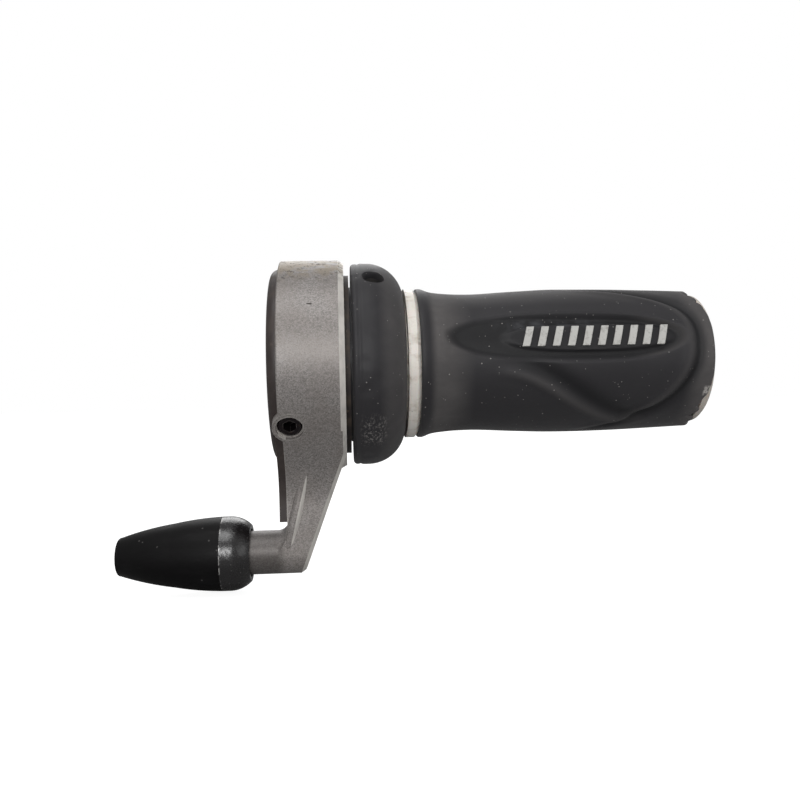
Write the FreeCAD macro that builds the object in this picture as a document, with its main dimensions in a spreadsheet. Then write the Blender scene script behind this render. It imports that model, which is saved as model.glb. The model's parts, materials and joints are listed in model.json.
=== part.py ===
import FreeCAD, Part
import math
import os
import re

import Sketcher

# A bicycle twist-grip gear shifter: a cast housing with a cable arm, a turning grip and a barrel adjuster.
#
# Frame: X runs along the handlebar with outboard at +X, Z is up, and the shifter's front faces -Y.
# The origin is on the handlebar's axis, at the inboard end of the clamp sleeve.
# Angles round the handlebar are in degrees from the front (-Y), counted downwards.
# Stations are distances along X.

# Driving dimensions, in millimetres and degrees.
DIMENSIONS = {
    # handlebar and the clamp sleeve on it
    "bar_radius": 11.15,
    "mandrel_radius": 12.15,
    "mandrel_end": 56.5,
    "mandrel_flange_radius": 13.8,
    "mandrel_flange_end": 3.2,
    "fit": 0.05,
    # housing ring
    "ring_start": 2.0,
    "ring_end": 15.2,
    "ring_radius": 22.3,
    "ring_round": 0.35,
    "shell_radius": 20.3,
    "bevel_width": 1.1,
    "bevel_drop": 0.6,
    "hub_radius": 14.7,
    "web_start": 4.9,
    "web_end": 6.7,
    "snap_start": 13.7,
    "snap_end": 14.5,
    "snap_radius": 20.65,
    # cable arm and barrel boss
    "arm_start": 2.7,
    "arm_lean": 38.0,
    "arm_blend": 14.0,
    "arm_back_lean": 14.0,
    "arm_back_height": 15.0,
    "arm_bevel": 0.75,
    "rib_top": 20.5,
    "rib_bottom": 38.0,
    "rib_station": 6.9,
    "rib_slope": 0.24,
    "rib_radius": 1.3,
    "rib_root": 0.15,
    "rib_rise": 0.75,
    "taper_top": 18.5,
    "taper_slope": 0.37,
    "tongue_start": 1.2,
    "tongue_end": 32.3,
    "boss_radius": 4.5,
    "boss_start": -11.1,
    "boss_fillet": 2.2,
    "barrel_depth": 5.0,
    "barrel_drop": 39.1,
    # clamp screw, along a radius of the ring
    "clamp_angle": 36.0,
    "clamp_station": 4.15,
    "clamp_block_radius": 3.4,
    "clamp_screw_radius": 2.5,
    "clamp_screw_start": 13.4,
    "clamp_screw_length": 8.0,
    "clamp_hex_radius": 1.45,
    "clamp_hex_depth": 2.6,
    "clamp_shoe_radius": 2.85,
    "clamp_shoe_top": 13.35,
    # inboard cover and its screws
    "cover_radius": 20.55,
    "cover_rim_inner": 19.2,
    "cover_rim_end": 2.9,
    "cover_round": 1.8,
    "cover_screw_circle": 16.7,
    "cover_screw_radius": 1.1,
    "cover_head_radius": 1.9,
    "cover_head_length": 1.2,
    "cover_screw_length": 4.6,
    "cover_post_radius": 2.1,
    # gear cable
    "wire_radius": 0.6,
    "drum_station": 9.3,
    "drum_wire_radius": 15.28,
    "elbow_station": 5.7,
    "elbow_radius": 6.0,
    "guide_radius": 1.5,
    "guide_bore": 0.8,
    "guide_lead": 2.2,
    "channel_half_width": 0.85,
    "channel_upper_floor": 8.8,
    "channel_lower_floor": 8.0,
    "wire_end": -22.8,
    "head_radius": 1.95,
    "head_length": 4.0,
    "head_station": 21.3,
    "head_angle": -53.0,
    "lead_bend": 1.8,
    "tunnel_radius": 1.0,
    "access_radius": 2.1,
    # drum, detents and stops
    "drum_start": 7.5,
    "drum_flange_radius": 16.0,
    "groove_start": 8.35,
    "groove_end": 10.2,
    "groove_radius": 14.65,
    "drum_bore": 13.3,
    "detent_radius": 18.4,
    "detent_end": 13.2,
    "detent_pitch": 15.0,
    "detent_count": 9,
    "detent_depth": 1.2,
    "detent_half_angle": 3.6,
    "neck_radius": 16.6,
    "drum_end": 16.6,
    "lug_angle": 20.0,
    "lug_half_angle": 4.0,
    "lug_radius": 19.7,
    "stop_play": 0.8,
    "stop_width": 6.0,
    "stop_radius": 18.75,
    "stop_start": 10.8,
    "spring_angle": 90.0,
    "spring_reach": 33.0,
    "spring_radius": 19.75,
    "spring_nose": 17.5,
    "spring_thickness": 0.35,
    "spring_width": 2.0,
    "washer_inner": 14.9,
    "washer_outer": 17.4,
    # retainer ring, seen in the gap between housing and collar
    "retainer_start": 13.5,
    "retainer_step": 15.2,
    "retainer_end": 16.2,
    "retainer_inner": 17.0,
    "retainer_lip": 19.1,
    # shift tube
    "tube_bore": 12.22,
    "tube_radius": 13.3,
    "tube_step": 56.9,
    "tube_outer_bore": 11.6,
    "tube_end": 91.5,
    "tube_bead_start": 90.0,
    "tube_bead_radius": 13.9,
    "flange_start": 27.9,
    "flange_end": 30.4,
    "flange_radius": 16.05,
    "flange_bevel": 0.7,
    "spline_start": 33.0,
    "spline_end": 88.0,
    "spline_half_width": 0.9,
    "spline_radius": 13.9,
    # collar
    "collar_start": 16.6,
    "collar_radius": 21.6,
    "collar_edge": 0.8,
    "collar_flat_end": 19.9,
    "collar_curve": 7.85,
    "collar_skin": 1.5,
    "collar_rim": 17.2,
    "collar_lip": 15.6,
    # rubber grip sleeve
    "grip_lip_radius": 16.1,
    "grip_lip_end": 31.8,
    "grip_neck_radius": 14.7,
    "grip_neck_start": 37.0,
    "grip_neck_end": 41.5,
    "grip_belly_radius": 15.6,
    "grip_belly_start": 57.0,
    "grip_belly_end": 72.0,
    "grip_tail_radius": 14.95,
    "grip_tail_start": 88.5,
    "grip_end": 91.3,
    "grip_end_round": 1.0,
    "recess_floor": 14.55,
    "recess_angle": -17.5,
    "recess_station": 60.2,
    "recess_half_length": 24.5,
    "recess_half_height": 5.0,
    "recess_bluntness": 2.5,
    "mark_start": 51.6,
    "mark_pitch": 3.1,
    "mark_count": 10,
    "mark_width": 1.5,
    "mark_half_height": 2.1,
    "mark_slant": 1.2,
    "mark_radius": 14.95,
    # barrel adjuster, along its own axis
    "thread_radius": 3.0,
    "thread_end": -0.5,
    "stem_radius": 2.94,
    "stem_bore": 1.1,
    "stem_start": -20.5,
    "stem_end": -1.7,
    "skirt_radius": 5.0,
    "skirt_mouth": -5.1,
    "skirt_floor": -15.5,
    "skirt_mouth_radius": 5.85,
    "shoulder_station": -9.1,
    "shoulder_radius": 7.65,
    "seam_station": -10.9,
    "waist_station": -20.8,
    "waist_radius": 6.55,
    "tip_station": -32.3,
    "tip_radius": 3.95,
    "ferrule_radius": 2.9,
    "ferrule_bore": 2.3,
    "ferrule_start": -32.0,
    "ferrule_floor": -23.1,
    "ferrule_end": -22.1,
    "coil_radius": 4.0,
    "coil_wire": 0.35,
    "coil_turns": 3.5,
}

SHEET = "Dims"
FULL_TURN = 360.0
FAR = 150.0  # reaches past every part of the shifter
COVER_SCREW_ANGLES = (-58.0, 150.0, 222.0)

doc = FreeCAD.newDocument("TwistShifter")
sheet = doc.addObject("Spreadsheet::Sheet", SHEET)
nodes = []


def fill_sheet():
    """Writes every driving dimension to a cell of its own, with its name as the alias."""
    for row, (alias, number) in enumerate(DIMENSIONS.items(), 1):
        sheet.set(f"A{row}", alias)
        sheet.set(f"B{row}", str(number))
        sheet.setAlias(f"B{row}", alias)
    doc.recompute()


def bound(formula):
    """Turns a formula over dimension names into an expression over the sheet's cells."""
    return re.sub(
        r"[a-z_]+",
        lambda word: f"{SHEET}.{word.group()}" if word.group() in DIMENSIONS else word.group(),
        str(formula),
    )


def size(formula):
    """The value that a formula has, read from the sheet."""
    return float(sheet.evalExpression(bound(formula)))


def polar(radius, angle):
    """Formulas for the Y and Z of a point at an angle below the front."""
    return f"-({radius})*cos({angle})", f"-({radius})*sin({angle})"


def ring_point(station, radius, angle):
    """The point at a station, a radius and an angle below the front, all as numbers."""
    turn_angle = math.radians(angle)
    return FreeCAD.Vector(station, -radius * math.cos(turn_angle), -radius * math.sin(turn_angle))


# Sketches


def new_body(label):
    body = doc.addObject("PartDesign::Body", label)
    body.Label = label
    return body


def new_sketch(body, plane, offset="0"):
    """A sketch on one of the body's own origin planes, moved along that plane's normal."""
    item = body.newObject("Sketcher::SketchObject", f"{body.Label}_sketch")
    origin_plane = next(part for part in body.Origin.OriginFeatures if part.Role == plane)
    item.AttachmentSupport = (origin_plane, [""])
    item.MapMode = "FlatFace"
    item.setExpression("AttachmentOffset.Base.z", bound(offset))
    return item


def constrain(item, formula, *where):
    index = item.addConstraint(Sketcher.Constraint(*where, size(formula)))
    item.setExpression(f"Constraints[{index}]", bound(formula))


def pin_point(item, geometry, end, across, along):
    """Holds one point of a sketch at a place given by two formulas."""
    constrain(item, across, "DistanceX", -1, 1, geometry, end)
    constrain(item, along, "DistanceY", -1, 1, geometry, end)


def arc_between(start, end, radius, side):
    """The shorter arc of a radius between two points, bulging to the left (+1) or right (-1)."""
    chord = end - start
    left = FreeCAD.Vector(-chord.y, chord.x, 0).normalize()
    centre = (start + end) / 2 - left * (side * math.sqrt(max(radius**2 - chord.Length**2 / 4, 0)))
    low, high = (start, end) if side < 0 else (end, start)
    angles = [math.atan2(spot.y - centre.y, spot.x - centre.x) for spot in (low, high)]
    if angles[1] < angles[0]:
        angles[1] += 2 * math.pi
    return Part.ArcOfCircle(Part.Circle(centre, FreeCAD.Vector(0, 0, 1), radius), *angles)


def draw_outline(item, corners, bends=None):
    """A closed outline through corners, each a pair of formulas.

    A bend makes an arc of the stretch that follows its corner; it holds a radius and a side.
    """
    bends = bends or {}
    first = item.GeometryCount
    count = len(corners)
    points = [FreeCAD.Vector(size(across), size(along), 0) for across, along in corners]
    starts = [1] * count
    for index, start in enumerate(points):
        end = points[(index + 1) % count]
        if index in bends:
            radius, side = bends[index]
            starts[index] = 1 if side < 0 else 2
            item.addGeometry(arc_between(start, end, size(radius), side), False)
        else:
            item.addGeometry(Part.LineSegment(start, end), False)
    for index in range(count):
        following = (index + 1) % count
        item.addConstraint(
            Sketcher.Constraint(
                "Coincident", first + index, 3 - starts[index], first + following, starts[following]
            )
        )
    for index, (across, along) in enumerate(corners):
        pin_point(item, first + index, starts[index], across, along)
    for index, (radius, side) in bends.items():
        constrain(item, radius, "Radius", first + index)
    return item


def draw_circle(item, across, along, radius):
    centre = FreeCAD.Vector(size(across), size(along), 0)
    index = item.addGeometry(Part.Circle(centre, FreeCAD.Vector(0, 0, 1), size(radius)), False)
    pin_point(item, index, 3, across, along)
    constrain(item, radius, "Radius", index)
    return item


def draw_sector(item, inner, outer, low, high):
    """A block between two radii and two angles, drawn on the YZ plane."""
    corners = [polar(inner, low), polar(outer, low), polar(outer, high), polar(inner, high)]
    return draw_outline(item, corners)


# Features


def checked(body, feature, sign):
    """Recomputes, and stops unless the feature changed the body's volume the right way."""
    before = 0.0 if body.Shape.isNull() else body.Shape.Volume
    doc.recompute()
    change = body.Shape.Volume - before
    if change * sign < 1e-6:
        raise RuntimeError(f"{body.Label}: {feature.Name} changed the volume by {change}")
    return feature


def turn(body, corners, bends=None):
    """Turns an outline of (station, radius) corners round the body's X axis."""
    outline = draw_outline(new_sketch(body, "XZ_Plane"), corners, bends)
    feature = body.newObject("PartDesign::Revolution", f"{body.Label}_turned")
    feature.Profile = outline
    feature.ReferenceAxis = (outline, ["H_Axis"])
    feature.Angle = FULL_TURN
    return checked(body, feature, 1)


def pad(body, outline, length):
    feature = body.newObject("PartDesign::Pad", f"{body.Label}_pad")
    feature.Profile = outline
    feature.setExpression("Length", bound(length))
    return checked(body, feature, 1)


def pocket(body, outline, length=None):
    """Cuts along the sketch's normal, or right through the body where no length is given."""
    feature = body.newObject("PartDesign::Pocket", f"{body.Label}_pocket")
    feature.Profile = outline
    if length is None:
        feature.Midplane = True
        feature.Length = 2 * FAR
    else:
        feature.Reversed = True
        feature.setExpression("Length", bound(length))
    return checked(body, feature, -1)


def rod(body, kind, radius, length, placement):
    """Adds or takes away a cylinder along the Z axis of a placement."""
    feature = body.newObject(f"PartDesign::{kind}Cylinder", f"{body.Label}_rod")
    feature.setExpression("Radius", bound(radius))
    feature.setExpression("Height", bound(length))
    feature.Placement = placement
    return checked(body, feature, 1 if kind == "Additive" else -1)


def radial(station, angle, start):
    """A placement whose Z axis points away from the handlebar, starting at a radius."""
    spin = FreeCAD.Rotation(FreeCAD.Vector(1, 0, 0), 90 + size(angle))
    return FreeCAD.Placement(ring_point(size(station), size(start), size(angle)), spin)


def dress_edges(body, kind, amount, wanted):
    """Rounds ("Fillet") or bevels ("Chamfer") the edges of the body that a test picks."""
    base = body.Tip
    names = [f"Edge{index}" for index, edge in enumerate(base.Shape.Edges, 1) if wanted(edge)]
    if not names:
        raise RuntimeError(f"{body.Label}: no edge to dress")
    feature = body.newObject(f"PartDesign::{kind}", f"{body.Label}_{kind}")
    feature.Base = (base, names)
    feature.setExpression("Radius" if kind == "Fillet" else "Size", bound(amount))
    doc.recompute()
    return feature


def rim_at(station, radius):
    """Picks the circular edges of one radius at one station."""

    def wanted(edge):
        if not isinstance(edge.Curve, Part.Circle):
            return False
        return math.dist((edge.Curve.Center.x, edge.Curve.Radius), (size(station), size(radius))) < 0.01

    return wanted


def repeat(body, feature, count, angle):
    """Repeats a feature round the body's X axis over an angle."""
    axis = next(part for part in body.Origin.OriginFeatures if part.Role == "X_Axis")
    pattern = body.newObject("PartDesign::PolarPattern", f"{body.Label}_pattern")
    pattern.Originals = [feature]
    pattern.Axis = (axis, [""])
    pattern.setExpression("Angle", bound(angle))
    pattern.setExpression("Occurrences", bound(count))
    body.Tip = pattern
    doc.recompute()
    return pattern


def onto_barrel_axis(item):
    """Moves a piece that was built on the X axis to the barrel adjuster's axis."""
    item.setExpression("Placement.Base.y", bound("-barrel_depth"))
    item.setExpression("Placement.Base.z", bound("-barrel_drop"))
    return item


def hold_shape(label, shape):
    item = doc.addObject("Part::Feature", label)
    item.Label = label
    item.Shape = shape
    return item


def cut_from(label, blank, tool_shape):
    """A node made of a finished body with one more shape taken away."""
    item = doc.addObject("Part::Cut", label)
    item.Label = label
    item.Base = blank
    item.Tool = hold_shape(f"{label}_tool", tool_shape)
    item.Refine = False
    doc.recompute()
    if item.Shape.Volume > blank.Shape.Volume - 1e-3:
        raise RuntimeError(f"{label}: the cut took nothing away")
    return item


def join_to(label, blank, more_shape):
    """A node made of a finished body with one more shape grown onto it."""
    item = doc.addObject("Part::Fuse", label)
    item.Label = label
    item.Base = blank
    item.Tool = hold_shape(f"{label}_more", more_shape)
    item.Refine = False
    doc.recompute()
    if item.Shape.Volume < blank.Shape.Volume + 1e-3:
        raise RuntimeError(f"{label}: the joined shape added nothing")
    return item


# The gear cable's path


def cable_angle():
    """The angle at which the cable leaves the drum, to run straight to the barrel's axis."""
    reach = math.hypot(size("barrel_depth"), size("barrel_drop"))
    lean = math.degrees(math.atan2(size("barrel_depth"), size("barrel_drop")))
    return math.degrees(math.asin(size("drum_wire_radius") / reach)) - lean


class Elbow:
    """The cable's straight run from the drum, and its bend on to the barrel's axis."""

    def __init__(self):
        self.leave = ring_point(size("drum_station"), size("drum_wire_radius"), cable_angle())
        corner = FreeCAD.Vector(size("elbow_station"), -size("barrel_depth"), -size("barrel_drop"))
        inboard = FreeCAD.Vector(-1, 0, 0)
        self.heading = (corner - self.leave).normalize()
        self.turn_angle = self.heading.getAngle(inboard)
        self.radius = size("elbow_radius")
        tangent = self.radius * math.tan(self.turn_angle / 2)
        self.start = corner - self.heading * tangent
        self.end = corner + inboard * tangent
        self.inward = (inboard - self.heading * self.heading.dot(inboard)).normalize()
        self.centre = self.start + self.inward * self.radius
        self.middle = self.centre + (corner - self.centre).normalize() * self.radius

    def bend(self):
        return Part.Arc(self.start, self.middle, self.end).toShape()


def swept(path_edges, radius):
    """A round wire of a radius that follows a path."""
    first = path_edges[0]
    begin = first.valueAt(first.FirstParameter)
    heading = first.tangentAt(first.FirstParameter)
    profile = Part.Wire(Part.makeCircle(radius, begin, heading))
    return Part.Wire(path_edges).makePipeShell([profile], True, True)


class Lead:
    """The cable on the turning parts: straight in from its head, then a bend into the drum's groove."""

    def __init__(self):
        self.radius = size("lead_bend")
        drum_radius = size("drum_wire_radius")
        self.head_circle = math.hypot(drum_radius, self.radius)
        self.turn_in = size("head_angle") + math.degrees(math.atan2(self.radius, drum_radius))
        self.end = ring_point(size("drum_station"), drum_radius, self.turn_in)
        along = ring_point(0, 1, self.turn_in + 90)
        self.centre = self.end + FreeCAD.Vector(self.radius, 0, 0)
        self.start = self.centre - along * self.radius
        diagonal = (self.start + self.end - self.centre * 2).normalize()
        self.middle = self.centre + diagonal * self.radius
        self.head = self.start + FreeCAD.Vector(size("head_station - head_length/2") - self.start.x, 0, 0)

    def path(self):
        high = cable_angle() - 0.6
        wrap = [
            ring_point(size("drum_station"), size("drum_wire_radius"), angle)
            for angle in (self.turn_in, (self.turn_in + high) / 2, high)
        ]
        straight = Part.makeLine(self.head, self.start)
        return [straight, Part.Arc(self.start, self.middle, self.end).toShape(), Part.Arc(*wrap).toShape()]

    def tunnel(self):
        """The hole that the wire passes through, from the head's room to the groove."""
        outboard = FreeCAD.Vector(1, 0, 0)
        begin = self.start - outboard * (self.start.x - size("groove_end") + 0.4)
        return Part.makeCylinder(size("tunnel_radius"), self.head.x - begin.x, begin, outboard)


# Fixed pieces


def draw_arm_side(item):
    """The arm from the side: it leaves the ring's front at a tangent and hollows down to the boss."""
    front = "(barrel_depth + boss_radius)"
    corner = f"(-ring_radius*sin(arm_lean) - (ring_radius*cos(arm_lean) - {front})/tan(arm_lean))"
    tangent = "(arm_blend*tan(arm_lean/2))"
    back_across = "(-barrel_depth + boss_radius*cos(arm_back_lean))"
    back_along = "(-barrel_drop - boss_radius*sin(arm_back_lean))"
    corners = [
        polar("ring_radius", "arm_lean"),
        (f"-{front} - {tangent}*sin(arm_lean)", f"{corner} + {tangent}*cos(arm_lean)"),
        (f"-{front}", f"{corner} - {tangent}"),
        (f"-{front}", "-barrel_drop"),
        (back_across, back_along),
        (
            f"{back_across} + arm_back_height*tan(arm_back_lean)",
            f"{back_along} + arm_back_height + boss_radius",
        ),
        polar("ring_radius/2", "arm_lean + 35"),
    ]
    return draw_outline(item, corners, {1: ("arm_blend", 1), 3: ("boss_radius", -1)})


def draw_frame_of(item, left, right, low, high):
    """A rectangle between four formulas."""
    return draw_outline(item, [(left, low), (right, low), (right, high), (left, high)])


def make_housing():
    body = new_body("housing_blank")
    block = new_sketch(body, "YZ_Plane", "arm_start")
    draw_frame_of(block, "-1.3*ring_radius", "ring_radius", "-1.4*barrel_drop", "-ring_radius/5")
    pad(body, block, "ring_end - arm_start")
    taper = new_sketch(body, "XZ_Plane")
    lowest = "1.5*barrel_drop"
    draw_outline(
        taper,
        [
            ("ring_end", "-taper_top"),
            (f"ring_end - taper_slope*({lowest} - taper_top)", f"-{lowest}"),
            ("2*ring_end", f"-{lowest}"),
            ("2*ring_end", "-taper_top"),
        ],
    )
    pocket(body, taper)
    boss = new_sketch(body, "YZ_Plane", "boss_start")
    draw_circle(boss, "-barrel_depth", "-barrel_drop", "boss_radius")
    pad(body, boss, "arm_start + 1 - boss_start")
    dress_edges(body, "Fillet", "boss_fillet", rim_at("arm_start", "boss_radius"))
    around = new_sketch(body, "YZ_Plane")
    draw_frame_of(around, -FAR, FAR, -FAR, FAR)
    draw_arm_side(around)
    pocket(body, around)
    dress_edges(body, "Chamfer", "arm_bevel", on_taper_front)
    pocket(body, draw_circle(new_sketch(body, "YZ_Plane"), "0", "0", "shell_radius"))
    add_ring(body)
    add_inner_blocks(body)
    cut_cable_way(body)
    cut_screw_holes(body)
    return keep(join_to("housing", body, rib_shape()))


def arm_face(drop):
    """The Y of the arm's front face at a depth below the handlebar's axis."""
    front = -size("barrel_depth + boss_radius")
    lean = math.radians(size("arm_lean"))
    blend = size("arm_blend")
    top = ring_point(0, size("ring_radius"), size("arm_lean"))
    corner = top.z - (front - top.y) / math.tan(lean)
    arc_end = corner - blend * math.tan(lean / 2)
    above = max(-drop - arc_end, 0)
    if above > blend * math.sin(lean):
        return top.y + (top.z + drop) * math.tan(lean)
    return front - blend + math.sqrt(blend**2 - above**2)


def rib_shape():
    """A rounded rib down the arm's front: it rises out of the arm below the ring and sinks into the boss."""
    radius, rise = size("rib_radius"), size("rib_rise")
    top, bottom = size("rib_top"), size("rib_bottom")
    sections = []
    steps = 8
    for step in range(steps + 1):
        share = step / steps
        drop = top + (bottom - top) * share
        station = size("rib_station") - size("rib_slope") * (drop - top)
        height = rise * math.sin(math.pi * share**1.3) - 0.02
        root = arm_face(drop) + size("rib_root")
        crown = arm_face(drop) - height
        half = math.sqrt(radius**2 - (radius - (root - crown)) ** 2)
        left, right = FreeCAD.Vector(station - half, root, -drop), FreeCAD.Vector(station + half, root, -drop)
        arch = Part.Arc(left, FreeCAD.Vector(station, crown, -drop), right).toShape()
        sections.append(Part.Wire([arch, Part.makeLine(right, left)]))
    return Part.makeLoft(sections, True, False)


def on_taper_front(edge):
    """Picks the arm's outer edges that lie in its tapered outboard side or straight above it."""
    ends = [edge.valueAt(edge.FirstParameter), edge.valueAt(edge.LastParameter)]
    middle = edge.valueAt((edge.FirstParameter + edge.LastParameter) / 2)

    def outboard(spot):
        drop = max(-spot.z - size("taper_top"), 0)
        return abs(size("ring_end") - size("taper_slope") * drop - spot.x) < 0.02

    on_front = middle.y < -size("barrel_depth") and middle.z < -size("ring_radius*sin(arm_lean)")
    return on_front and all(outboard(spot) for spot in [*ends, middle])


def add_ring(body):
    """The ring, the web across it, the hub round the clamp sleeve, and the retainer's groove."""
    seat = "(mandrel_radius + fit)"
    flange_seat = "(mandrel_flange_radius + fit)"
    turn(
        body,
        [
            ("ring_start", "shell_radius"),
            ("ring_start", "ring_radius - ring_round"),
            ("ring_start + ring_round", "ring_radius"),
            ("ring_end - bevel_width", "ring_radius"),
            ("ring_end", "ring_radius - bevel_drop"),
            ("ring_end", "shell_radius"),
            ("web_end", "shell_radius"),
            ("web_end", seat),
            ("mandrel_flange_end + fit", seat),
            ("mandrel_flange_end + fit", flange_seat),
            ("ring_start", flange_seat),
            ("ring_start", "hub_radius"),
            ("web_start", "hub_radius"),
            ("web_start", "shell_radius"),
        ],
        {1: ("ring_round", 1)},
    )
    snap = draw_circle(new_sketch(body, "YZ_Plane", "snap_start"), "0", "0", "snap_radius")
    pocket(body, snap, "snap_end - snap_start")


def add_inner_blocks(body):
    """The clamp screw's block, the cover's screw posts, the travel stops and the spring's ribs."""
    block = radial("clamp_station", "clamp_angle", "hub_radius - 0.2")
    rod(body, "Additive", "clamp_block_radius", "ring_radius - hub_radius", block)
    behind_web = draw_circle(new_sketch(body, "YZ_Plane", "web_end"), "0", "0", "shell_radius")
    pocket(body, behind_web, "drum_start - web_end + 0.3")
    posts = new_sketch(body, "YZ_Plane", "ring_start")
    for angle in COVER_SCREW_ANGLES:
        draw_circle(posts, *polar("cover_screw_circle", angle), "cover_post_radius")
    pad(body, posts, "web_start - ring_start + 0.2")
    travel = "detent_pitch*(detent_count - 1)"
    rest_stop = "(lug_angle + lug_half_angle + stop_play)"
    end_stop = f"(lug_angle - {travel} - lug_half_angle - stop_play)"
    rib = "(spring_reach + 0.6)"
    blocks = new_sketch(body, "YZ_Plane", "stop_start")
    for low, high in (
        (rest_stop, f"{rest_stop} + stop_width"),
        (f"{end_stop} - stop_width", end_stop),
        (f"spring_angle - {rib} - 3.5", f"spring_angle - {rib}"),
        (f"spring_angle + {rib}", f"spring_angle + {rib} + 3.5"),
    ):
        draw_sector(blocks, "stop_radius", "shell_radius + 0.6", low, high)
    pad(body, blocks, "detent_end - stop_start")


def cut_channel(body, top, bottom, floor):
    """A slot behind the cover, along the cable's line between two depths below the handlebar's axis."""
    sine, cosine = f"sin({cable_angle()})", f"cos({cable_angle()})"

    def corner(depth, side):
        line = f"-(drum_wire_radius - ({depth})*{sine})/{cosine}"
        return f"{line} + ({side})*channel_half_width/{cosine}", f"-({depth})"

    outline = new_sketch(body, "YZ_Plane", "ring_start")
    draw_outline(outline, [corner(top, -1), corner(bottom, -1), corner(bottom, 1.4), corner(top, 1.4)])
    pocket(body, outline, f"{floor} - ring_start")


def cut_cable_way(body):
    """The slot down the arm, the curved tunnel of the cable's elbow, and the barrel's threaded hole."""
    cut_channel(body, "16.4", "25", "channel_upper_floor")
    cut_channel(body, "24.5", "tongue_end - 0.4", "channel_lower_floor")
    elbow = Elbow()
    tunnel = "guide_radius + fit"
    toward = FreeCAD.Rotation(FreeCAD.Vector(0, 0, 1), elbow.heading)
    lead = size("guide_lead") + 0.8
    rod(body, "Subtractive", tunnel, lead, FreeCAD.Placement(elbow.start - elbow.heading * lead, toward))
    bend = body.newObject("PartDesign::SubtractiveTorus", "arm_elbow")
    bend.setExpression("Radius1", bound("elbow_radius"))
    bend.setExpression("Radius2", bound(tunnel))
    bend.Angle3 = math.degrees(elbow.turn_angle)
    across = elbow.inward * -1
    bend.Placement = FreeCAD.Placement(
        elbow.centre,
        FreeCAD.Rotation(across, elbow.heading, across.cross(elbow.heading), "XYZ"),
    )
    checked(body, bend, -1)
    bore = new_sketch(body, "YZ_Plane", "boss_start")
    draw_circle(bore, "-barrel_depth", "-barrel_drop", "thread_radius")
    pocket(body, bore, "thread_end - boss_start")
    exit_hole = new_sketch(body, "YZ_Plane", "boss_start")
    draw_circle(exit_hole, "-barrel_depth", "-barrel_drop", tunnel)
    pocket(body, exit_hole, f"{elbow.end.x + 0.02} - boss_start")


def cut_screw_holes(body):
    """The clamp screw's threaded hole, its countersink, the shoe's guide and the cover screws' holes."""
    shoe_bore = "clamp_shoe_radius + fit"
    from_bar = radial("clamp_station", "clamp_angle", "bar_radius")
    rod(body, "Subtractive", shoe_bore, "clamp_shoe_top + fit - bar_radius", from_bar)
    rod(body, "Subtractive", "clamp_screw_radius", "1.2*ring_radius - bar_radius", from_bar)
    mouth = radial("clamp_station", "clamp_angle", "clamp_screw_start + clamp_screw_length - 0.1")
    rod(body, "Subtractive", "clamp_screw_radius + 0.25", "ring_radius/4", mouth)
    holes = new_sketch(body, "YZ_Plane", "ring_start")
    for angle in COVER_SCREW_ANGLES:
        draw_circle(holes, *polar("cover_screw_circle", angle), "cover_screw_radius")
    pocket(body, holes, "cover_screw_length - ring_start + 0.8")


def make_end_cover():
    """The black inboard cover, with the tongue that closes the cable's slot in the arm."""
    body = new_body("end_cover")
    tongue = new_sketch(body, "YZ_Plane", "tongue_start")
    draw_arm_side(tongue)
    pad(body, tongue, "arm_start - tongue_start")
    below = new_sketch(body, "YZ_Plane")
    draw_frame_of(below, "-2*ring_radius", "ring_radius", "-2*barrel_drop", "-tongue_end")
    pocket(body, below)
    seat = new_sketch(body, "YZ_Plane", "ring_start")
    draw_circle(seat, "0", "0", "ring_radius + fit")
    pocket(body, seat, "ring_start")
    bore = new_sketch(body, "YZ_Plane")
    draw_circle(bore, "0", "0", "cover_radius - cover_round - 0.3")
    pocket(body, bore)
    hole = "(mandrel_radius + fit)"
    turn(
        body,
        [
            ("0", hole),
            ("0", "cover_radius - cover_round"),
            ("cover_round", "cover_radius"),
            ("ring_start", "cover_radius"),
            ("ring_start", "shell_radius - fit"),
            ("cover_rim_end", "shell_radius - fit"),
            ("cover_rim_end", "cover_rim_inner"),
            ("ring_start", "cover_rim_inner"),
            ("ring_start", hole),
        ],
        {1: ("cover_round", 1)},
    )
    notch = radial("clamp_station", "clamp_angle", "bar_radius")
    rod(body, "Subtractive", "clamp_block_radius + fit", "ring_radius", notch)
    screw_holes = new_sketch(body, "YZ_Plane")
    for angle in COVER_SCREW_ANGLES:
        draw_circle(screw_holes, *polar("cover_screw_circle", angle), "cover_screw_radius + 0.1")
    pocket(body, screw_holes)
    seats = new_sketch(body, "YZ_Plane")
    for angle in COVER_SCREW_ANGLES:
        draw_circle(seats, *polar("cover_screw_circle", angle), "cover_head_radius + 0.1")
    pocket(body, seats, "cover_head_length + 0.1")
    return keep(body)


def make_mandrel():
    body = new_body("mandrel")
    turn(
        body,
        [
            ("0", "bar_radius"),
            ("0", "mandrel_radius"),
            ("ring_start", "mandrel_radius"),
            ("ring_start", "mandrel_flange_radius"),
            ("mandrel_flange_end", "mandrel_flange_radius"),
            ("mandrel_flange_end", "mandrel_radius"),
            ("mandrel_end", "mandrel_radius"),
            ("mandrel_end", "bar_radius"),
        ],
    )
    window = radial("clamp_station", "clamp_angle", "bar_radius - 1")
    rod(body, "Subtractive", "clamp_shoe_radius + fit", "4", window)
    return keep(body)


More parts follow.
